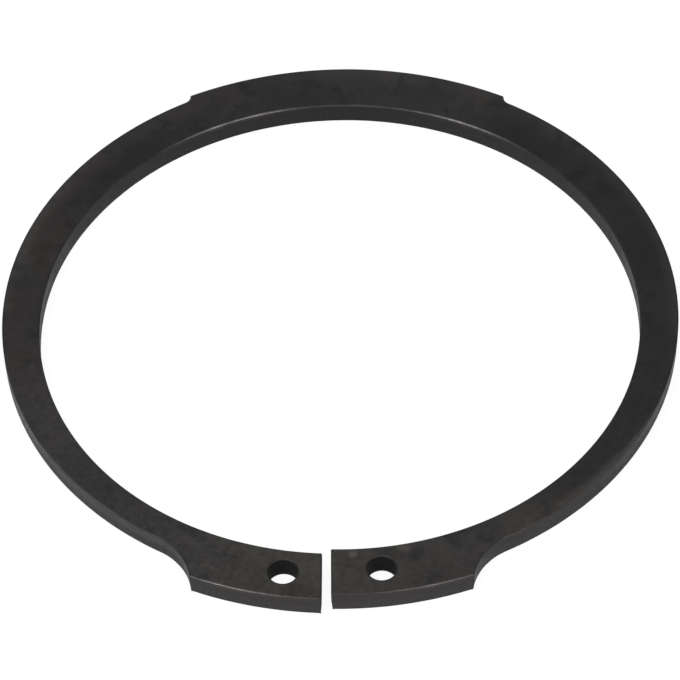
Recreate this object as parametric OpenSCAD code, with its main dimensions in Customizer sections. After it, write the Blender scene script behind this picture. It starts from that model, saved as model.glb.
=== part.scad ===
// Large external circlip, a retaining ring stamped from spring steel sheet.
// It snaps into a groove on a shaft. Its arms grow narrower from the raised back
// towards two lugs, and pliers open it by the hole in each lug.
// The underside is the XY plane, the Z axis is the shaft's, and the gap faces -Y.

/* [Ring] */

// Diameter of the bore while the ring is free
bore_d = 103; // [95:0.5:112]
// Thickness of the sheet
thick = 4; // [3:0.1:5]
// Width of the arms at the back, under the raised part
arm_back_w = 8.8; // [8.2:0.05:9.1]
// Width that the arms narrow to at the gap
arm_front_w = 4.6; // [3.6:0.1:5.6]

/* [Raised back] */

// Width of the ring over its raised back
back_w = 9.7; // [9.4:0.05:10.2]
// Angle from the middle of the back to each end of the raised part
back_half_angle = 27.5; // [18:0.5:50]
// Radius of the hollow that leads down from each end of the raised part
back_hollow_r = 1.7; // [1.7:0.1:4]

/* [Lugs] */

// Depth of the lugs from the bore outwards
lug_w = 9.6; // [8.6:0.1:10.6]
// Angle from the middle of the lugs to the outer corner of each
lug_half_angle = 22.3; // [18:0.1:28]
// Radius of the hollow between each lug and its arm
lug_hollow_r = 10.8; // [8:0.1:16]

/* [Plier holes] */

// Diameter of the two holes
hole_d = 4.8; // [3.5:0.1:5.5]
// Distance between the centres of the holes
hole_spacing = 16.1; // [13:0.1:20]
// Distance from the bore's wall to the centre of each hole
hole_inset = 4.5; // [4:0.1:5.2]

/* [Gap] */

// Width of the gap between the lugs
gap_w = 1.5; // [0.8:0.1:3]
// Distance of the gap from the middle of the lugs, towards the left hole
gap_shift = 1; // [0:0.1:1.5]

/* [Sheared edges] */

// Width and height of the rolled-over upper edges
roll = 0.3; // [0.2:0.05:0.6]
// Height of the rough, broken zone at the foot of each wall
break_h = 2.2; // [1.2:0.1:2.4]
// How far the ring's walls slope inwards over the broken zone
wall_taper = 0.2; // [0.05:0.05:0.4]
// How far the holes widen over the broken zone
hole_taper = 0.1; // [0.05:0.05:0.3]
// How far each wall of the gap slopes back over the broken zone
gap_taper = 0.3; // [0.05:0.05:0.5]

/* [Hidden] */

$fn = 180;

// Length by which cutting shapes stand clear of what they cut.
clear = 1;

// The bore, the raised back and the lugs share the shaft's centre. The outer arc of
// the arms has its own centre further back, which is what makes them taper.
bore_r = bore_d / 2;
back_r = bore_r + back_w;
lug_r = bore_r + lug_w;
arm_r = bore_r + (arm_back_w + arm_front_w) / 2;
arm_shift = (arm_back_w - arm_front_w) / 2;

// Outer corners of the raised back and of the lugs on the right-hand side.
back_corner = back_r * [sin(back_half_angle), cos(back_half_angle)];
lug_corner = lug_r * [sin(lug_half_angle), -cos(lug_half_angle)];

// Step by which each hollow stops above the arms' arc, too small to see. The two
// round walls stay apart by it and end at one plain edge.
runout = 0.02;

// Each hollow is a circle of radius r beside the arms' arc that passes through a
// corner. These give the distance from the arc's centre to its centre, and its
// direction, turned anticlockwise from the corner where turn is 1.
function hollow_reach(r) = arm_r + r + runout;
function hollow_dir(corner, r, turn) =
    let (to_corner = corner - [0, arm_shift], reach = hollow_reach(r), d = norm(to_corner))
    atan2(to_corner[1], to_corner[0])
        + turn * acos((d * d + reach * reach - r * r) / (2 * d * reach));

lug_dir = hollow_dir(lug_corner, lug_hollow_r, 1);
back_dir = hollow_dir(back_corner, back_hollow_r, -1);

// The holes lie on a circle round the shaft, the same distance from the middle.
hole_x = hole_spacing / 2;
hole_y = -sqrt(pow(bore_r + hole_inset, 2) - hole_x * hole_x);

// Rolled edge of a wall at x = r, up to the upper face: a quarter circle in flats,
// which turns away to the left where side is -1 and to the right where it is 1.
roll_flats = 3;
function rolled(r, side) = [
    for (i = [0 : roll_flats])
        let (a = 90 * i / roll_flats)
        [r + side * roll * (1 - cos(a)), thick - roll * (1 - sin(a))]
];

// Half-section of a stamped disc: sloping broken zone, upright wall, rolled top edge.
module blank_section(r) {
    polygon(concat([[0, 0], [r - wall_taper, 0], [r, break_h]],
        rolled(r, -1), [[0, thick]]));
}

// The same kind of wall at x = r on the sheet round a punch, from below the sheet up.
function punched_wall(r, taper) = concat(
    [[r + taper * (1 + clear / break_h), -clear], [r, break_h]],
    rolled(r, 1), [[r + roll + clear, thick + clear]]
);

// Round hole or hollow punched through the sheet.
module punch(r, taper) {
    rotate_extrude()
        polygon(concat([[0, -clear]], punched_wall(r, taper), [[0, thick + clear]]));
}

// Copies its children to the left-hand side too.
module both_sides() {
    children();
    mirror([1, 0, 0]) children();
}

// Part of a stamped disc of radius r round the shaft, seen from the centre of the
// arms' arc between two directions.
module sector(r, from, to) {
    intersection() {
        rotate_extrude() blank_section(r);
        translate([0, arm_shift, -clear])
            rotate_extrude(angle = to - from, start = from)
                square([2 * r, thick + 2 * clear]);
    }
}

// Hollow of radius r that leads down to the arms' arc in the direction dir.
module hollow(r, dir) {
    translate([hollow_reach(r) * cos(dir), arm_shift + hollow_reach(r) * sin(dir), 0])
        punch(r, wall_taper);
}

// Both tapering arms, as one stamped disc that the back and the lugs stand out from.
module arms() {
    translate([0, arm_shift, 0])
        rotate_extrude() blank_section(arm_r);
}

// Raised back, with a hollow leading down to the arm at each end.
module raised_back() {
    difference() {
        sector(back_r, back_dir, 180 - back_dir);
        both_sides() hollow(back_hollow_r, back_dir);
    }
}

// The two lugs before the gap parts them, each hollowed down to its arm.
module lugs() {
    difference() {
        sector(lug_r, 180 - lug_dir, 360 + lug_dir);
        both_sides() hollow(lug_hollow_r, lug_dir);
    }
}

// The gap: a straight slot between two sheared walls.
module gap() {
    wall = punched_wall(gap_w / 2, gap_taper);
    translate([-gap_shift, 2 * clear - bore_r, 0])
        rotate([90, 0, 0])
            linear_extrude(lug_w + 4 * clear)
                polygon(concat(wall, [
                    for (i = [len(wall) - 1 : -1 : 0])
                        [-wall[i][0], wall[i][1]]
                ]));
}

// The whole ring, one piece of sheet.
module retaining_ring() {
    color([0.21, 0.21, 0.21])
        difference() {
            union() {
                arms();
                raised_back();
                lugs();
            }
            punch(bore_r, wall_taper);
            both_sides() translate([hole_x, hole_y, 0]) punch(hole_d / 2, hole_taper);
            gap();
        }
}

retaining_ring();
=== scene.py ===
# %% [markdown]
# # A stamped spring-steel retaining ring
#
# The real ring is cut from a 4 mm sheet with one stroke of a press, hardened, and then
# blackened in a hot salt bath. It is a single piece of metal, so everything that makes it
# look real is in two places: the shape of its sheared edges, and the thin black skin that
# is a little uneven everywhere and worn through to bare steel on the sharpest edges.
#
# The CAD model comes in first, as the frame that the finished ring must stay inside.

# %% Load the frame
import math

import bmesh
import bpy
import numpy as np
from mathutils import Matrix, Vector, noise
from mathutils.geometry import delaunay_2d_cdt


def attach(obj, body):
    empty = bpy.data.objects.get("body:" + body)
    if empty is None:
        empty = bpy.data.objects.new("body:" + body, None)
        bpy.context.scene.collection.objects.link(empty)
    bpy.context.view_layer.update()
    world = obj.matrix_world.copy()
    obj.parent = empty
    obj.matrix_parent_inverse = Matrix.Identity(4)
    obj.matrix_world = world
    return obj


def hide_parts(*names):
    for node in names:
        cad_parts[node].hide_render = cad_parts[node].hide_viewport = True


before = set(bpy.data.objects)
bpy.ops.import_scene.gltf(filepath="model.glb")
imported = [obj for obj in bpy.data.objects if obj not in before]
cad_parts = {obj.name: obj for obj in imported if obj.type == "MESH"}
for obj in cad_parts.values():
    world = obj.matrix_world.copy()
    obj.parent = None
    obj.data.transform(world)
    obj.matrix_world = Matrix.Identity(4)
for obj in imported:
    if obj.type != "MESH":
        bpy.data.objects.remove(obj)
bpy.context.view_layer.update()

mm = 0.001

# %% [markdown]
# ## The camera comes before the ring
#
# The photograph was taken with a long lens from 64 centimetres away, looking down at 48
# degrees, nearly in line with the gap. The back of the ring looks only a little smaller
# than its front, and that comes from the distance. So the camera is placed by its
# distance, its direction and its small roll, and the long lens then fills the frame.

# %% Camera
view_turn = math.radians(2.55)
view_height = math.radians(48.205)
view_roll = math.radians(-1.716)
view_distance = 638.45 * mm
view_target = Vector((-0.073, -1.68, 0)) * mm
focal_pixels, picture_pixels = 3711, 680

back = Vector((math.sin(view_turn) * math.cos(view_height),
               -math.cos(view_turn) * math.cos(view_height),
               math.sin(view_height)))
side = Vector((math.cos(view_turn), math.sin(view_turn), 0))
up = back.cross(side)
rolled_side = side * math.cos(view_roll) + up * math.sin(view_roll)
rolled_up = up * math.cos(view_roll) - side * math.sin(view_roll)

camera_data = bpy.data.cameras.new("camera")
camera_data.sensor_width = 36
camera_data.lens = focal_pixels / picture_pixels * camera_data.sensor_width
camera_data.clip_start = 0.01
camera_data.clip_end = 20
camera = bpy.data.objects.new("camera", camera_data)
bpy.context.scene.collection.objects.link(camera)
axes = Matrix((rolled_side, rolled_up, back)).transposed().to_4x4()
camera.matrix_world = Matrix.Translation(view_target + back * view_distance) @ axes
bpy.context.scene.camera = camera
print("lens in mm:", round(camera_data.lens, 1))

# %% [markdown]
# ## The outline of the blank
#
# Seen from above, the ring is drawn with a handful of round strokes. The bore, the raised
# back and the lugs share the centre of the shaft. The outside of the arms is an arc whose
# centre lies further back, and that is why the arms grow thinner towards the gap. Small
# round hollows lead from the arms up to the back and out to the lugs.
#
# The sizes are in millimetres and the angles in degrees. The gap has four corners, and
# each is given by how far right of the middle it lies.

# %% Sizes of the ring
thick = 4.0
bore_r = 51.56
arm_r, arm_shift = 58.2, 2.1
back_r, back_half_angle, back_hollow_r = 61.18, 27.7, 1.7
lug_r, lug_half_angle, lug_hollow_r = 61.1, 22.3, 10.8
gap_bore_x, gap_outer_x = (-1.80, -0.41), (-1.65, -0.14)
hole_r, hole_x, hole_circle_r = 2.4, 8.05, 56.0
print("free bore in mm:", 2 * bore_r, "and width at the back:", round(back_r - bore_r, 2))

# %% [markdown]
# ## Arcs and hollows
#
# The strokes are written as points, with the metal always on the left of the way we go.
# One helper makes an arc. Another finds the centre of a hollow and the direction in which
# it touches the arms, by the law of cosines.

# %% Arcs and hollows
def arc(centre, radius, start, end, spacing=0.05):
    """Points on an arc from one angle to another, in degrees."""
    count = max(8, int(abs(math.radians(end - start)) * radius / spacing))
    a = np.radians(np.linspace(start, end, count))
    return np.column_stack([centre[0] + radius * np.cos(a), centre[1] + radius * np.sin(a)])


def direction(point, centre=(0, 0)):
    """Direction in which a point lies from a centre, in degrees."""
    return math.degrees(math.atan2(point[1] - centre[1], point[0] - centre[0]))


def hollow(corner, radius, turn):
    """A hollow's centre and the direction in which it touches the arms' arc."""
    reach = arm_r + radius
    from_arm = (corner[0], corner[1] - arm_shift)
    d = math.hypot(*from_arm)
    opened = math.degrees(math.acos((d * d + reach * reach - radius * radius) / (2 * d * reach)))
    towards = direction(from_arm) + turn * opened
    a = math.radians(towards)
    return (reach * math.cos(a), arm_shift + reach * math.sin(a)), towards


def hollow_stroke(centre, radius, start, end):
    """The arc of a hollow, the short way round from one direction to the other."""
    turn = (end - start + 180) % 360 - 180
    return arc(centre, radius, start, start + turn)


lug_corner = (lug_r * math.sin(math.radians(lug_half_angle)),
              -lug_r * math.cos(math.radians(lug_half_angle)))
back_corner = (back_r * math.sin(math.radians(back_half_angle)),
               back_r * math.cos(math.radians(back_half_angle)))
lug_centre, lug_touch = hollow(lug_corner, lug_hollow_r, 1)
back_centre, back_touch = hollow(back_corner, back_hollow_r, -1)
print("the hollows touch the arms at", round(lug_touch, 2), "and", round(back_touch, 2), "degrees")

# %% [markdown]
# ## Strokes round the whole ring
#
# Now the strokes are put in order, anticlockwise round the outside and back clockwise
# along the bore. Apart from its gap the ring is symmetrical, so the strokes of the
# left-hand arm are those of the right-hand one, mirrored and read backwards.

# %% Strokes round the whole ring
gap_points = 200


def on_circle(x, radius):
    """The point at x on the front of a circle round the shaft."""
    return (x, -math.sqrt(radius * radius - x * x))


def mirrored(stroke):
    """The stroke on the left-hand side that matches one on the right."""
    return (stroke * [-1, 1])[::-1]


right_lug_start = direction(on_circle(gap_outer_x[1], lug_r))
left_lug_end = direction(on_circle(gap_outer_x[0], lug_r))
lug_hollow = hollow_stroke(lug_centre, lug_hollow_r,
                           direction(lug_corner, lug_centre), lug_touch + 180)
arm = arc((0, arm_shift), arm_r, lug_touch, back_touch)
back_hollow = hollow_stroke(back_centre, back_hollow_r,
                            back_touch + 180, direction(back_corner, back_centre))
strokes = [
    arc((0, 0), lug_r, right_lug_start, lug_half_angle - 90),
    lug_hollow,
    arm,
    back_hollow,
    arc((0, 0), back_r, 90 - back_half_angle, 90 + back_half_angle),
    mirrored(back_hollow),
    mirrored(arm),
    mirrored(lug_hollow),
    arc((0, 0), lug_r, -90 - lug_half_angle, left_lug_end),
    np.linspace(on_circle(gap_outer_x[0], lug_r), on_circle(gap_bore_x[0], bore_r), gap_points),
    arc((0, 0), bore_r, direction(on_circle(gap_bore_x[0], bore_r)) + 360,
        direction(on_circle(gap_bore_x[1], bore_r))),
    np.linspace(on_circle(gap_bore_x[1], bore_r), on_circle(gap_outer_x[1], lug_r), gap_points),
]
print("strokes:", len(strokes))

# %% [markdown]
# ## Blunt corners
#
# No punch cuts a perfectly sharp corner, and tumbling after the press blunts it further.
# Each of the eight corners is rounded to about a quarter of a millimetre. Arcs that meet
# smoothly need no rounding, so the first helper asks how far the direction turns. The
# places of the corners are kept, because the rolled edge has to grow narrower near them,
# or else it would fold over itself.

# %% Corners
corner_r = 0.22
corner_step = 9  # degrees
sharp_turn = 0.2  # radians


def turn_between(before, after):
    """Angle by which the direction changes where two strokes meet, in radians."""
    a, b = before[-1] - before[-2], after[1] - after[0]
    return abs(math.atan2(a[0] * b[1] - a[1] * b[0], a @ b))


def way(points, at_end):
    """Unit vector along a stroke, at its end or at its start."""
    step = points[-1] - points[-2] if at_end else points[1] - points[0]
    return step / np.linalg.norm(step)


def corner_curve(start, start_way, end, end_way, turn):
    """A round curve that leaves one stroke and runs smoothly into the next."""
    handle = 4 / 3 * math.tan(turn / 4) * corner_r
    count = max(3, math.ceil(math.degrees(turn) / corner_step))
    u = np.linspace(0, 1, count)[1:-1, None]
    a, b = start + handle * start_way, end - handle * end_way
    return ((1 - u) ** 3 * start + 3 * u * (1 - u) ** 2 * a
            + 3 * u * u * (1 - u) * b + u ** 3 * end)


turns = [turn_between(strokes[i - 1], strokes[i]) for i in range(len(strokes))]
sharp_corners = [stroke[0] for stroke, turn in zip(strokes, turns) if turn > sharp_turn]
print("sharp corners:", len(sharp_corners))

# %% [markdown]
# ## One closed loop
#
# The strokes are cut back at their corners, divided into even steps, and joined with the
# small corner curves between them. The two plier holes are loops of their own. They run
# clockwise, so that the metal is on the left there too.

# %% Join the strokes
point_gap = 0.38
hole_point_gap = 0.25


def lengths(points):
    """How far along a stroke each of its points lies."""
    steps = np.hypot(*np.diff(points, axis=0).T)
    return np.concatenate([[0], np.cumsum(steps)])


def point_at(points, distance):
    """The points of a stroke at the given distances along it."""
    s = lengths(points)
    return np.column_stack([np.interp(distance, s, points[:, 0]),
                            np.interp(distance, s, points[:, 1])])


def joined(strokes):
    """One closed loop of evenly spaced points, with rounded corners."""
    cut = [corner_r * math.tan(turn / 2) if turn > sharp_turn else 0 for turn in turns]
    trimmed = []
    for i, stroke in enumerate(strokes):
        whole = lengths(stroke)[-1]
        first, last = cut[i], whole - cut[(i + 1) % len(strokes)]
        count = max(3, round((last - first) / point_gap) + 1)
        trimmed.append(point_at(stroke, np.linspace(first, last, count)))
    loop = []
    for i, stroke in enumerate(trimmed):
        following = trimmed[(i + 1) % len(trimmed)]
        turn = turns[(i + 1) % len(turns)]
        if turn > sharp_turn:
            loop += [stroke, corner_curve(stroke[-1], way(stroke, True),
                                          following[0], way(following, False), turn)]
        else:
            loop.append(stroke[:-1])
    return np.vstack(loop)


outline = joined(strokes)
hole_y = on_circle(hole_x, hole_circle_r)[1]
holes = [arc((x, hole_y), hole_r, 360, 0, hole_point_gap)[:-1] for x in (-hole_x, hole_x)]
print("points round the ring:", len(outline), "and round each hole:", len(holes[0]))

# %% [markdown]
# ## What a press leaves on a sheared wall
#
# Look closely at any stamped edge and you find the same bands, from the side where the
# tool came in. First the sheet is dragged down into a small rolled edge. Then comes the
# land, a smooth upright band that the tool has wiped. Where the metal finally tears,
# the wall turns rough and leans inwards, down to a small burr that tumbling has blunted.
# The line between land and tear wanders up and down along the wall.
#
# A bevel modifier can't do this, because the bands differ. Instead, a list of steps
# says how far the wall stands back at each height, and the whole outline is swept by it.
# Smooth noise, read at the place of each point, makes the bands wander. It is the
# same noise on every run, and each ripple has a layer of its own. In the sums that follow,
# a ripple is multiplied by its size, and its first number says how closely it waves.

# %% Noise along a wall
layer_gap = 7.3


def ripple(points, per_mm, layer, height=0.0):
    """Smooth noise between about -1 and 1 at each point of a loop."""
    return np.array([noise.noise(Vector((x * per_mm, y * per_mm, layer * layer_gap + height)))
                     for x, y in points])


sample = ripple(outline, 0.7, 2)
print("noise along the outline from", round(sample.min(), 2), "to", round(sample.max(), 2))

# %% [markdown]
# ## The rolled edge
#
# The rolled edge is a quarter turn from the flat face down to the wall. Each step says how
# far the wall stands back, at which height, how bare the steel can be there, and how torn
# it is. Wear grows from the flat face towards the wall. At the front of the right-hand
# arm the die was duller, so the outer edge rolls over widely there.

# %% Rolled edge
roll = 0.3
roll_steps = 8
wide_roll = 2.2
wide_roll_middle, wide_roll_spread = -36, 15
bore_margin = 1.0


def degrees_round(points):
    """Direction of each point from the shaft, from -180 to 180 degrees."""
    return np.degrees(np.arctan2(points[:, 1], points[:, 0]))


def soft_roll(points):
    """1 where the outer edge rolled over widely, fading to 0 on both sides."""
    outside = np.hypot(*points.T) > bore_r + bore_margin
    return outside * np.exp(-((degrees_round(points) - wide_roll_middle) / wide_roll_spread) ** 2)


def roll_bands(points, rub_and_highlight):
    """Steps from the flat face down to the land, for points worn by that much, which also sets
    their painted highlight.
    """
    width = roll * (1 + 0.22 * ripple(points, 0.11, 4) + 0.12 * ripple(points, 0.9, 5)
                    + 0.3 * rub_and_highlight + wide_roll * soft_roll(points))
    steps = []
    for i in range(roll_steps + 1):
        a = math.radians(90 * (1 - i / roll_steps))
        height = thick - roll * (1 - math.sin(a))
        bare = min(1, 2 * math.sin(math.pi * i / roll_steps), 1.4 * i / roll_steps + 0.2)
        bare = bare if i < roll_steps else 0.8
        steps.append((width * (1 - math.cos(a)), height, bare * rub_and_highlight, 0.0))
    return steps


print("widest rolled edge in mm:", round(max(roll_bands(outline, 0)[0][0]), 2))

# %% [markdown]
# ## Land and tear
#
# The land stands upright, with scores about a hundredth of a millimetre deep. It ends
# 1.8 mm below the upper face, at a line that wanders by a few tenths. The torn zone under
# it is rough and leans back. Sheet has a grain from rolling and tears more cleanly along
# it than across it, so the walls at the two sides lean in less than those at the front
# and back. The last two steps are the blunted burr at the foot.

# %% Land and tear
break_height = 2.2
wall_taper, hole_taper = 0.2, 0.1
land_shares = ((0.12, 0.9), (0.35, 0.2), (0.7, 0.0), (0.93, 0.0))  # how far down, how bare
tear_shares = (0.05, 0.16, 0.3, 0.45, 0.6, 0.76, 0.9)


def land_bands(points, tear, rub_and_highlight):
    """Steps from the rolled edge down to the line where the metal tore."""
    top = thick - roll
    scored = 0.006 * (1 + ripple(points, 2.6, 6))
    steps = [(scored, top + (tear - top) * share, bare * rub_and_highlight, 0.0) for share, bare in land_shares]
    return steps + [(0.008, tear, 0.0, 0.15)]


def torn_bands(points, tear, taper, rub_and_highlight):
    """Steps from the torn line down to the underside."""
    lean = taper * (0.35 + 0.65 * np.sin(np.arctan2(points[:, 1], points[:, 0])) ** 2)
    steps = []
    for share in tear_shares:
        rough = (0.035 * ripple(points, 1.9, 7, share * 1.6)
                 + 0.022 * ripple(points, 3.6, 8, share * 4))
        set_back = 0.01 + lean * share + rough * min(1, share * 4)
        steps.append((set_back, tear * (1 - share), 0.0, min(1, 0.3 + share * 4)))
    foot = 0.5 + 0.5 * ripple(points, 0.8, 9)
    steps.append((lean + 0.02 * foot, 0.05 + 0.02 * foot, 0.0, 1.0))
    steps.append((lean + 0.05 + 0.03 * foot, 0.0, 0.35 * rub_and_highlight, 0.6))
    return steps


def wall_bands(points, taper, rub_and_highlight):
    """All steps down a wall: set-back, height, how bare and how torn."""
    wander = (0.26 * ripple(points, 0.16, 1) + 0.16 * ripple(points, 0.7, 2)
              + 0.07 * ripple(points, 2.3, 3))
    tear = break_height + wander
    return (roll_bands(points, rub_and_highlight) + land_bands(points, tear, rub_and_highlight)
            + torn_bands(points, tear, taper, rub_and_highlight))


print("steps down a wall:", len(wall_bands(outline, wall_taper, 0)))

# %% [markdown]
# ## Where the edge is worn and painted bright
#
# Wear isn't the same all round, and this list also sets how bright the rolled edge is
# painted in each direction. That follows where the edge catches the lamps, so it is partly a
# painted highlight. The edge is brightest along the lugs and at both ends of the raised
# back. The arms are fainter, and most of the right-hand one is hardly bright at all. The list
# names those places by their direction from the shaft, as seen from above. A bell curve
# makes each one fade away on both sides.

# %% Worn stretches, partly painted highlight
least_wear_and_highlight = 0.05
wear_and_highlight_places = [  # middle and spread in degrees, and how bright
    (-162, 12, 0.3),
    (-139, 12, 0.38),
    (-104, 9, 0.45),
    (-94, 4, 0.22),
    (-86, 5, 0.10),
    (-75, 8, 0.4),
    (-59, 7, 0.15),
    (-30, 13, 0.28),
    (25, 20, 0.13),
    (66, 12, 0.65),
    (90, 10, 0.2),
    (113, 12, 0.9),
    (143, 9, 0.15),
]


def wear_and_highlight_at(points):
    """How worn each point of a loop is, which also sets its painted highlight, at most 1."""
    a = degrees_round(points)
    bells = [most * np.exp(-((a - middle) / spread) ** 2)
             for middle, spread, most in wear_and_highlight_places]
    return np.maximum(least_wear_and_highlight, np.max(bells, axis=0))


print("rubbed stretches:", len(wear_and_highlight_places))

# %% [markdown]
# ## Sweep the walls
#
# At each point of the loop, the way into the metal is square to the outline. The first
# helper works that out from the two neighbouring points. The next one lays down a ring of
# vertices for each step and joins each ring to the one above with four-sided faces.
# Each vertex also remembers which band it belongs to. Those numbers become attributes,
# and the steel's material reads them. The last of them says how much painted shade a wall
# gets: fully in the plier holes, and less in the bore, most of it at the back.

# %% Walls
steel = bmesh.new()
# How bare the rolled edge is, which also paints its bright line where it catches the lamps.
wear_and_highlight_layer = steel.verts.layers.float.new("rolled_edge")
sheared_layer = steel.verts.layers.float.new("sheared")
torn_layer = steel.verts.layers.float.new("torn")
# Painted shade for the walls of the plier holes and the bore.
painted_shade_layer = steel.verts.layers.float.new("painted_shade")
least_room, room_slope = 0.75 * corner_r, 0.6
bore_shade, more_shade_at_back = 0.05, 0.55
bore_fade = 0.9


def into_metal(points):
    """Unit vectors square to the loop, towards the metal on its left."""
    before = points - np.roll(points, 1, axis=0)
    after = np.roll(points, -1, axis=0) - points
    before /= np.linalg.norm(before, axis=1)[:, None]
    after /= np.linalg.norm(after, axis=1)[:, None]
    along = before + after
    along /= np.linalg.norm(along, axis=1)[:, None]
    return np.column_stack([-along[:, 1], along[:, 0]])


def sweep_wall(points, taper, painted_shade_share):
    """Builds the wall under one loop and returns its top and bottom rings of vertices."""
    inwards = into_metal(points)
    from_corner = np.min([np.hypot(*(points - corner).T) for corner in sharp_corners], axis=0)
    room = np.maximum(least_room, room_slope * from_corner)
    # How worn each stretch of edge is, which also paints its highlight; none in the plier holes.
    rub_and_highlight = wear_and_highlight_at(points) * (painted_shade_share < 1)
    rings = []
    for set_back, height, wear_and_highlight, torn in wall_bands(points, taper, rub_and_highlight):
        places = points + inwards * np.minimum(set_back, room)[:, None]
        heights = np.broadcast_to(height, len(points))
        ring = []
        for (x, y), z, shaded, bare in zip(places, heights, painted_shade_share,
                                            np.broadcast_to(wear_and_highlight, len(points))):
            vertex = steel.verts.new((x, y, z))
            below_roll = min(1, (thick - z) / roll)
            vertex[wear_and_highlight_layer] = bare
            vertex[sheared_layer] = below_roll
            vertex[torn_layer] = torn
            # Painted shade, only below the rolled edge.
            vertex[painted_shade_layer] = shaded * below_roll
            ring.append(vertex)
        rings.append(ring)
    for upper, lower in zip(rings, rings[1:]):
        for i in range(len(upper)):
            j = (i + 1) % len(upper)
            face = steel.faces.new((upper[j], upper[i], lower[i], lower[j]))
            face.smooth = True
    return rings[0], rings[-1]


on_bore = np.clip((bore_r + bore_margin - np.hypot(*outline.T)) / bore_fade, 0, 1)
at_back = np.clip(outline[:, 1] / bore_r, 0, 1) ** 2
# The bore's wall gets some painted shade, more at the back, and the plier holes get it fully.
walls = [sweep_wall(outline, wall_taper, on_bore * (bore_shade + more_shade_at_back * at_back))]
walls += [sweep_wall(hole, hole_taper, np.ones(len(hole))) for hole in holes]
tops, bottoms = zip(*walls)
print("wall faces:", len(steel.faces))

# %% [markdown]
# ## The flat faces
#
# The two flat faces are what is left of the rolled sheet. They could be one huge polygon
# each, but that breaks up into long slivers, which are poor to bend, paint or bake. So
# points are sprinkled over the face on a triangular grid, and a constrained triangulation
# joins them to the rings of the walls. It fills the bore and the holes too, and a test by
# counting crossings drops the triangles that lie outside the metal.

# %% Points on the flat faces
grid_gap, grid_margin = 1.9, 1.5
row_inset, row_margin = 0.75, 0.7
batch = 500  # places tested at once


def inside(places, loops):
    """True for each place that lies in the metal: an odd number of crossings to its right."""
    odd = np.zeros(len(places), bool)
    for loop in loops:
        a, b = loop, np.roll(loop, -1, axis=0)
        for k in range(0, len(places), batch):
            x, y = places[k:k + batch, 0][:, None], places[k:k + batch, 1][:, None]
            spans = (a[:, 1] > y) != (b[:, 1] > y)
            rise = np.where(b[:, 1] == a[:, 1], 1, b[:, 1] - a[:, 1])
            crossing = a[:, 0] + (y - a[:, 1]) * (b[:, 0] - a[:, 0]) / rise
            odd[k:k + batch] ^= (np.sum(spans & (x < crossing), axis=1) % 2).astype(bool)
    return odd


def edge_distance(places, loops):
    """Distance from each place to the nearest point of any loop."""
    every = np.vstack(loops)
    return np.array([np.min(np.hypot(*(every - p).T)) for p in places])


def sprinkled(loops):
    """Rows of points that follow the edges, and grid points in the rest of the metal."""
    lo, hi = loops[0].min(axis=0), loops[0].max(axis=0)
    rows = np.arange(lo[1], hi[1], grid_gap * math.sqrt(3) / 2)
    grid = np.array([(x + (i % 2) * grid_gap / 2, y) for i, y in enumerate(rows)
                     for x in np.arange(lo[0], hi[0], grid_gap)])
    grid = grid[inside(grid, loops)]
    grid = grid[edge_distance(grid, loops) > grid_margin]
    near = np.vstack([(loop + into_metal(loop) * row_inset)[::2] for loop in loops])
    near = near[edge_distance(near, loops) > row_margin]
    return np.vstack([near, grid])


print("points inside the outline:", len(sprinkled([outline] + holes)))

# %% Flat faces
whole_triangles, tolerance = 0, 1e-7


def flat_face(rings, height, facing_up):
    """Fills the metal between the rings of the walls with triangles."""
    loops = [np.array([v.co.xy for v in ring]) for ring in rings]
    extra = sprinkled(loops)
    vertices = [v for ring in rings for v in ring]
    vertices += [steel.verts.new((x, y, height)) for x, y in extra]
    places = [Vector(p) for loop in loops for p in loop] + [Vector(p) for p in extra]
    edges, start = [], 0
    for ring in rings:
        edges += [(start + i, start + (i + 1) % len(ring)) for i in range(len(ring))]
        start += len(ring)
    joined_up = delaunay_2d_cdt(places, edges, [], whole_triangles, tolerance)
    _, _, faces, origins, _, _ = joined_up
    faces = [[origins[i][0] for i in face] for face in faces]
    middles = np.array([np.mean([places[i] for i in face], axis=0) for face in faces])
    for face, kept in zip(faces, inside(middles, loops)):
        if kept:
            made = steel.faces.new([vertices[i] for i in face])
            made.normal_update()
            if (made.normal.z > 0) != facing_up:
                made.normal_flip()


flat_face(tops, thick, True)
flat_face(bottoms, 0.0, False)
open_edges = [e for e in steel.edges if not e.is_manifold]
print("faces:", len(steel.faces), "open edges:", len(open_edges))

# %% [markdown]
# ## A spring never closes quite true
#
# Hardening lets such a ring move a little. On this one the right-hand arm has drawn in
# by almost a millimetre at its end, so the two lugs don't quite line up. The set grows
# with the square of the distance from the back, as a springy arm bends. Every vertex on
# that side moves towards the shaft by that amount, which keeps the width of the arm. The
# gap lies left of the middle, so at the front that side starts inside the gap.

# %% Set of the right-hand arm
lug_set = 0.9
in_gap_x = -0.6

for vertex in steel.verts:
    x, y = vertex.co.x, vertex.co.y
    if x > 0 or (y < 0 and x > in_gap_x):
        from_back = abs((math.degrees(math.atan2(y, x)) - 90 + 180) % 360 - 180) / 180
        radius = math.hypot(x, y)
        shrink = 1 - lug_set * from_back ** 2 / radius
        vertex.co.x, vertex.co.y = x * shrink, y * shrink

bmesh.ops.scale(steel, vec=(mm, mm, mm), verts=steel.verts)
mesh = bpy.data.meshes.new("blackened_ring")
steel.to_mesh(mesh)
steel.free()
ring = bpy.data.objects.new("blackened_ring", mesh)
bpy.context.scene.collection.objects.link(ring)
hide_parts("retaining_ring")
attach(ring, "root")
print("triangles:", sum(len(p.vertices) - 2 for p in mesh.polygons))

# %% [markdown]
# ## Helpers for the steel's nodes
#
# A material is a small network of nodes. Six helpers keep it readable, and each works on
# the network that is called tree. The first adds a node and sets its sockets. The others
# read a band attribute, do a sum, turn a range of values into a mask from 0 to 1, lay one
# colour over another, and make noise at a size given in millimetres.

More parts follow.
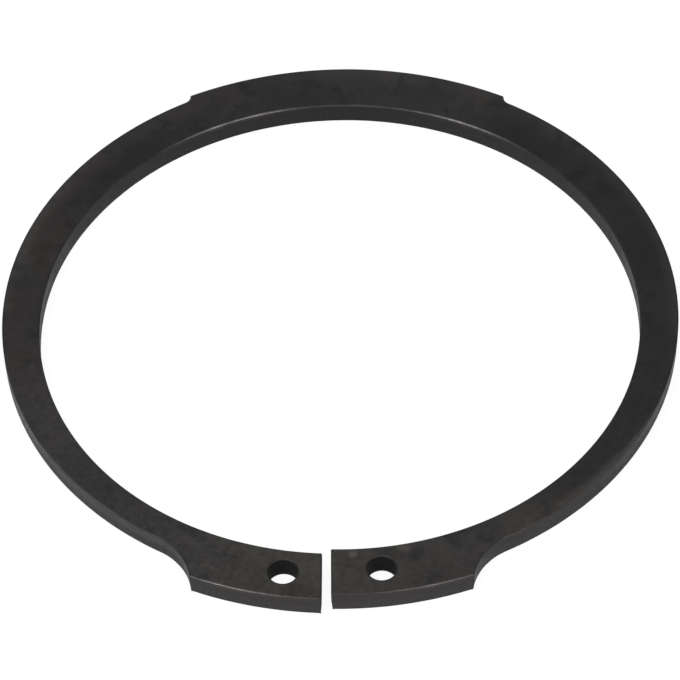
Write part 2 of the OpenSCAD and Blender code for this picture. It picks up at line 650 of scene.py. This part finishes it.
# %% Node helpers
steel_skin = bpy.data.materials.new("blackened_spring_steel")
steel_skin.use_nodes = True
tree = steel_skin.node_tree
tree.nodes.clear()


def add(kind, inputs=None, **settings):
    """Adds a node. An input is a number or a colour, or another node's output to link."""
    node = tree.nodes.new(kind)
    for name, value in settings.items():
        setattr(node, name, value)
    for name, value in (inputs or {}).items():
        if isinstance(value, bpy.types.NodeSocket):
            tree.links.new(value, node.inputs[name])
        else:
            node.inputs[name].default_value = value
    return node


def band(name):
    """Reads one of the numbers that the vertices of the walls remember."""
    return add("ShaderNodeAttribute", attribute_name=name).outputs["Fac"]


def maths(kind, a, b=0.0, clamp=False):
    """A sum of two values. With clamp, it stays between 0 and 1."""
    return add("ShaderNodeMath", {0: a, 1: b}, operation=kind, use_clamp=clamp).outputs[0]


def mask(value, low, high, start=0.0, end=1.0):
    """Goes softly from start to end while the value goes from low to high."""
    return add("ShaderNodeMapRange", {"Value": value, "From Min": low, "From Max": high,
                                      "To Min": start, "To Max": end},
               interpolation_type="SMOOTHSTEP").outputs["Result"]


def mix(a, b, share):
    """Colour a with that share of colour b. A node for colours has them in sockets 6 and 7."""
    return add("ShaderNodeMix", {0: share, 6: a, 7: b}, data_type="RGBA").outputs[2]


place = add("ShaderNodeTexCoord").outputs["Object"]


def mottle(size, detail=3.0, roughness=0.55, stretch=(1, 1, 1), turn=0.0, distortion=0.0):
    """Noise whose spots are about size millimetres across, longer where stretch is above 1."""
    scaled = add("ShaderNodeMapping", {"Vector": place,
                                       "Scale": [1 / (size * mm * s) for s in stretch],
                                       "Rotation": (0, 0, math.radians(turn))})
    return add("ShaderNodeTexNoise", {"Vector": scaled.outputs[0], "Scale": 1.0, "Detail": detail,
                                      "Roughness": roughness, "Distortion": distortion}
               ).outputs["Fac"]


print("nodes that all the noise shares:", len(tree.nodes))

# %% [markdown]
# ## The black skin
#
# Blackening turns the surface into a thin layer of black iron oxide. It takes its tone
# from the steel under it, so it is never one flat colour: there are cloudy patches about a
# centimetre across, smaller smudges, a fine grain from the rolled sheet, and warmer areas.
# Four sizes of noise are mixed for this, and they shift the colour only a little.

# %% Colour of the skin
clouds = mottle(11, detail=3)
tint = mottle(23, detail=2)
smudges = mottle(4.5, detail=3, roughness=0.55, distortion=0.4)
grain = mottle(1.1, detail=4, roughness=0.65)
dark_skin = (0.0120, 0.0111, 0.0113, 1)
pale_skin = (0.0178, 0.0167, 0.0165, 1)
brown_skin = (0.0182, 0.0158, 0.0142, 1)
smudged_skin = (0.0068, 0.0064, 0.0066, 1)
grainy_skin = (0.0074, 0.0071, 0.0072, 1)
skin = mix(dark_skin, pale_skin, mask(clouds, 0.3, 0.72))
skin = mix(skin, brown_skin, mask(tint, 0.50, 0.72, 0, 0.5))
skin = mix(skin, smudged_skin, mask(smudges, 0.50, 0.72, 0, 0.7))
skin = mix(skin, grainy_skin, mask(grain, 0.54, 0.75, 0, 0.45))
print("nodes so far:", len(tree.nodes))

# %% [markdown]
# ## Marks of its own
#
# Noise alone makes every part of the ring equally patchy. The real one also has marks that
# sit in one place: thicker, darker oil along both arms, a warmer film where it dried on the
# lugs, a rusty tint on the left arm, and two spots on the bore's rim, left and right of the
# right hole, where the oil has been touched. Each mark is a soft round patch with a ragged
# border. A list gives its place and size in millimetres, its colour and its strength.

# %% Marks
thick_oil = (0.0045, 0.0042, 0.0041, 1)
dried_oil = (0.0200, 0.0192, 0.0155, 1)
rust_tint = (0.0175, 0.0120, 0.0123, 1)
touched = (0.0500, 0.0450, 0.0400, 1)


def away_from(x, y):
    """Distance in metres from a place on the upper face."""
    return add("ShaderNodeVectorMath", {0: place, 1: (x * mm, y * mm, thick * mm)},
               operation="DISTANCE").outputs["Value"]


def patch(x, y, size):
    """1 at a place on the upper face, falling to 0 at about size from it."""
    ragged = mask(smudges, 0.3, 0.7, -0.35, 0.35)
    share_away = maths("DIVIDE", away_from(x, y), size * mm)
    return mask(maths("ADD", share_away, ragged), 0.2, 1.1, 1, 0)


marks = [  # place and size, colour and strength
    (53, 4, 26, thick_oil, 0.30),
    (42, -36, 15, thick_oil, 0.50),
    (50, 24, 18, thick_oil, 0.25),
    (-54, -2, 20, thick_oil, 0.35),
    (-38, -42, 15, thick_oil, 0.20),
    (51, -18, 14, thick_oil, 0.40),
    (-14, -59, 6, thick_oil, 0.25),
    (15, -58, 6, thick_oil, 0.25),
    (-6, -59.3, 3.2, thick_oil, 0.55),
    (9, -51.6, 1.6, thick_oil, 0.6),
    (0, -56, 26, dried_oil, 0.30),
    (-14, -54, 7, dried_oil, 0.25),
    (-2, -55, 4, dried_oil, 0.5),
    (34, -46, 8, dried_oil, 0.4),
    (-52, 18, 10, rust_tint, 0.5),
    (3.2, -51.9, 1.2, touched, 0.5),
    (12.2, -50.4, 1.7, touched, 0.35),
]
for x, y, size, colour, strength in marks:
    skin = mix(skin, colour, maths("MULTIPLY", patch(x, y, size), strength))
print("marks:", len(marks))

# %% [markdown]
# ## Oil creeps to the bore
#
# A wire runs through the bores of a whole string of rings, so the oil that drains off
# gathers towards the bore's rim and dries there. Towards the outside the face is lighter,
# partly from a thin, polished film and partly as a painted sheen along the rim. Two masks,
# made from the distance to the middle of the bore and to the middle of the arms' arc, say
# which side of the face a place lies on. Soft patches choose the stretches, because the oil
# never drains evenly.

# %% Oil along the bore
# Partly a polished film and partly a painted sheen along the outer rim.
polish_and_painted_sheen = (0.0340, 0.0328, 0.0312, 1)
near_bore = mask(away_from(0, 0), 54 * mm, 59.5 * mm, 1, 0)
near_rim = mask(away_from(0, arm_shift), 55.5 * mm, 57.7 * mm)
crept = [  # place and size, side of the face, colour and strength
    (-42, 38, 33, near_bore, thick_oil, 0.60),
    (36, 43, 20, near_bore, thick_oil, 0.50),
    (-3, 53, 10, near_bore, thick_oil, 0.30),
    (41, -39, 14, near_rim, polish_and_painted_sheen, 0.50),
    (50, 20, 34, near_rim, polish_and_painted_sheen, 0.22),
    (-54, 18, 20, near_rim, polish_and_painted_sheen, 0.32),
    (6, 58, 22, near_rim, polish_and_painted_sheen, 0.20),
]
for x, y, size, side_mask, colour, strength in crept:
    share = maths("MULTIPLY", patch(x, y, size), side_mask)
    skin = mix(skin, colour, maths("MULTIPLY", share, strength))
print("stretches that oil crept along or left:", len(crept))

# %% [markdown]
# ## Scuffs and scratches
#
# Rings are tumbled, strung on wires and thrown in boxes, so the flat faces carry fine
# scuffs. Noise that is stretched a lot along one line gives such marks once only its
# highest values are kept. Two sets cross at different angles.

# %% Scratches
scuffed_skin = (0.036, 0.0347, 0.0334, 1)
first_noise = mottle(0.16, 2, 0.5, stretch=(46, 1, 1), turn=24, distortion=0.3)
second_noise = mottle(0.13, 2, 0.5, stretch=(1, 38, 1), turn=63, distortion=0.4)
both_ways = maths("MAXIMUM", mask(first_noise, 0.66, 0.74), mask(second_noise, 0.67, 0.75))
scuffs = maths("MULTIPLY", both_ways, mask(mottle(7, 2), 0.48, 0.62))
skin = mix(skin, scuffed_skin, maths("MULTIPLY", scuffs, 0.5))
print("nodes so far:", len(tree.nodes))

# %% [markdown]
# ## Bare steel on the rolled edges
#
# The skin wears through first where the edge is proud: along the rolled edges. The lighter
# bare steel also draws the edge's bright line, and its strength along the ring follows where
# the edge catches the lamps, so it is partly a painted highlight. It is never an even line,
# so the band attribute is multiplied by noise at two sizes: a coarse one that dulls whole
# stretches, and a fine one that breaks up the rest.

# %% Worn edges
bare_steel = (0.26, 0.247, 0.239, 1)
stretches = mask(mottle(9, 2), 0.38, 0.62, 0.6, 1)
breaks = mask(mottle(1.6, 4, 0.6), 0.34, 0.66, 0.5, 1)
rolled = mask(band("rolled_edge"), 0.0, 0.9)
wear_and_highlight = maths("MULTIPLY", rolled, maths("MULTIPLY", stretches, breaks))
# Bare steel, partly a painted highlight along the rolled edge.
skin = mix(skin, bare_steel, maths("MULTIPLY", wear_and_highlight, 0.75))
print("nodes so far:", len(tree.nodes))

# %% [markdown]
# ## Land and torn zone
#
# The walls are fresh metal that the rolling mill never touched, so their skin comes out
# lighter and greyer. The land was wiped by the tool, so it is smoother and carries fine
# upright scores. The torn zone below it is grainy, with small glints painted into its colour
# as lighter specks. Both read the torn attribute, and a little noise is added to it first so
# that the border is ragged. At the front of the left arm the land is painted lighter, a
# painted sheen, and on the right arm the tear is painted darker, a painted shade.

# %% Sheared walls
sheared_skin = (0.0450, 0.0427, 0.0420, 1)
# Colours for a painted glint, a painted sheen and a painted shade on the walls.
painted_tear_glint = (0.056, 0.053, 0.052, 1)
painted_land_sheen = (0.075, 0.072, 0.071, 1)
painted_tear_shade = (0.022, 0.021, 0.0205, 1)
sheared = band("sheared")
ragged_line = mask(mottle(0.35, 3), 0.3, 0.7, -0.25, 0.25)
torn = mask(maths("ADD", band("torn"), ragged_line), 0.3, 0.7)
tear_grain = mottle(0.30, 5, 0.7, stretch=(1, 1, 2.4))
painted_glints = mask(tear_grain, 0.42, 0.72, 0, 0.9)
land = maths("SUBTRACT", sheared, torn, clamp=True)
# Painted sheen on the land at the front of the left arm, and painted shade on the tear of the
# right arm.
land_sheen_patch = maths("MULTIPLY", patch(-42, -40, 26), land)
tear_shade_patch = maths("MULTIPLY", patch(51.5, -24, 20), torn)
skin = mix(skin, sheared_skin, maths("MULTIPLY", sheared, 0.8))
# Painted glints: lighter specks in the torn zone.
skin = mix(skin, painted_tear_glint, maths("MULTIPLY", torn, painted_glints))
skin = mix(skin, painted_land_sheen, maths("MULTIPLY", land_sheen_patch, 0.6))
skin = mix(skin, painted_tear_shade, maths("MULTIPLY", tear_shade_patch, 0.6))
print("nodes so far:", len(tree.nodes))

# %% [markdown]
# ## Painted shade in the holes and the bore
#
# The walls of the plier holes are painted dark, a painted shade for the little light that
# reaches into them. They are the blackest place on the ring. The bore's wall gets some
# painted shade too, mostly at the back. A band attribute says where and how much.

# %% Painted shade on the walls
# Painted shade: the hole walls and the back of the bore are painted darker.
painted_shade_black = (0.0090, 0.0084, 0.0081, 1)
painted_shade = band("painted_shade")
skin = mix(skin, painted_shade_black, maths("MULTIPLY", painted_shade, 0.85))
print("nodes so far:", len(tree.nodes))

# %% [markdown]
# ## Gloss and relief
#
# The gloss follows the same masks: the bare edges shine, the tear and the soot don't. Each
# layer adds its share to the roughness. Relief is made the same way, with a height in
# millimetres for each layer, and the sum goes through one bump node. The object is
# measured in metres, so the node's distance is one millimetre.
#
# The black film is thin and lies on metal, so the surface is mostly metallic. Its specular
# tint holds down the pale sheen that bare metal has at a low angle, which the film dulls.

# %% Gloss and relief
def summed(start, layers):
    """Adds up masks, each times its own share."""
    for layer, share in layers:
        start = maths("ADD", start, maths("MULTIPLY", layer, share))
    return start


roughness = summed(mask(clouds, 0.3, 0.7, 0.40, 0.50), [
    (mask(grain, 0.35, 0.65, -0.05, 0.07), 1),
    (wear_and_highlight, -0.05),
    (torn, 0.06),
    (painted_shade, 0.25),
])
upright_scores = mottle(0.22, 3, 0.6, stretch=(1, 1, 30))
pits = mask(mottle(0.42, 2, 0.4), 0.66, 0.74)
height = summed(0.0, [
    (grain, 0.006),
    (clouds, 0.02),
    (scuffs, -0.003),
    (pits, -0.006),
    (upright_scores, 0.006),
    (maths("MULTIPLY", torn, tear_grain), 0.06),
])
relief = add("ShaderNodeBump", {"Strength": 1.0, "Distance": mm, "Height": height})

surface = add("ShaderNodeBsdfPrincipled", {"Base Color": skin, "Metallic": 0.85,
                                           "Roughness": roughness,
                                           "Specular Tint": (0.62, 0.62, 0.62, 1),
                                           "Normal": relief.outputs["Normal"]})
add("ShaderNodeOutputMaterial", {"Surface": surface.outputs[0]})
mesh.materials.append(steel_skin)
print("nodes in the steel:", len(tree.nodes))

# %% [markdown]
# ## Floor, light and air
#
# The ring lies on a white table in a bright room. The floor is a matt white surface that
# takes the ring's shadow. The camera and the ring's own reflections also see it glow, so
# that it reads as clean white without any extra lamp. The upright walls mirror the floor,
# and the flat faces mirror the air, which is white in reflections and dimmer as a light.
#
# Two tall soft boxes stand left and right of the camera, about as high as it is. A rolled
# edge holds every slope from flat to upright, so some part of it always mirrors a box of
# that height, but only where the edge faces halfway between the box and us. That draws
# the thin bright lines and leaves the rest of the rim dark. A weak box behind the ring is
# mirrored by the lugs, which lie nearest to us and look a little lighter for it.

# %% Floor
floor_half = 6.0
floor_drop = 0.00002
glow_share = 0.93
floor_paint = bpy.data.materials.new("white_floor")
floor_paint.use_nodes = True
tree = floor_paint.node_tree
tree.nodes.clear()


def seen_or_mirrored():
    """1 for rays from the camera and for those that a glossy surface mirrors."""
    ray = add("ShaderNodeLightPath")
    return maths("ADD", ray.outputs["Is Camera Ray"], ray.outputs["Is Glossy Ray"])


paper = add("ShaderNodeBsdfDiffuse", {"Color": (0.80, 0.80, 0.80, 1)})
glow = add("ShaderNodeEmission", {"Color": (1, 1, 1, 1), "Strength": 1.0})
share = maths("MULTIPLY", seen_or_mirrored(), glow_share)
both = add("ShaderNodeMixShader", {0: share, 1: paper.outputs[0], 2: glow.outputs[0]})
add("ShaderNodeOutputMaterial", {"Surface": both.outputs[0]})

floor_mesh = bpy.data.meshes.new("floor")
floor_corners = [(x * floor_half, y * floor_half, -floor_drop)
                 for x, y in ((-1, -1), (1, -1), (1, 1), (-1, 1))]
floor_mesh.from_pydata(floor_corners, [], [(0, 1, 2, 3)])
floor_mesh.materials.append(floor_paint)
floor = bpy.data.objects.new("floor", floor_mesh)
bpy.context.scene.collection.objects.link(floor)
print("floor in metres:", 2 * floor_half, "by", 2 * floor_half)

# %% Lamps
lamp_distance = 0.8


def soft_box(name, direction_from, size, power):
    """A lamp that faces the ring, by its turn and height in degrees, and width and length."""
    turn, rise = map(math.radians, direction_from)
    spot = Vector((math.sin(turn) * math.cos(rise), -math.cos(turn) * math.cos(rise),
                   math.sin(rise))) * lamp_distance
    lamp = bpy.data.lights.new(name, "AREA")
    lamp.shape = "RECTANGLE"
    lamp.size, lamp.size_y = size
    lamp.energy = power
    box = bpy.data.objects.new(name, lamp)
    box.matrix_world = (Matrix.Translation(spot)
                        @ spot.to_track_quat("Z", "Y").to_matrix().to_4x4())
    bpy.context.scene.collection.objects.link(box)
    return box


boxes_of_light = [
    soft_box("left_strip", (-38, 45), (0.22, 0.7), 6),
    soft_box("right_strip", (38, 45), (0.22, 0.7), 4),
    soft_box("back_box", (-163, 66), (0.4, 0.4), 2.2),
]
print("lamps:", [box.name for box in boxes_of_light])

# %% Air
air_light = 0.47
world = bpy.data.worlds.new("air")
world.use_nodes = True
tree = world.node_tree
tree.nodes.clear()
strength = maths("ADD", maths("MULTIPLY", seen_or_mirrored(), 1 - air_light), air_light)
air = add("ShaderNodeBackground", {"Color": (1, 1, 1, 1), "Strength": strength})
add("ShaderNodeOutputWorld", {"Surface": air.outputs[0]})
bpy.context.scene.world = world
bpy.context.scene.view_settings.view_transform = "Standard"
print("the air lights with", air_light, "and is seen as 1")
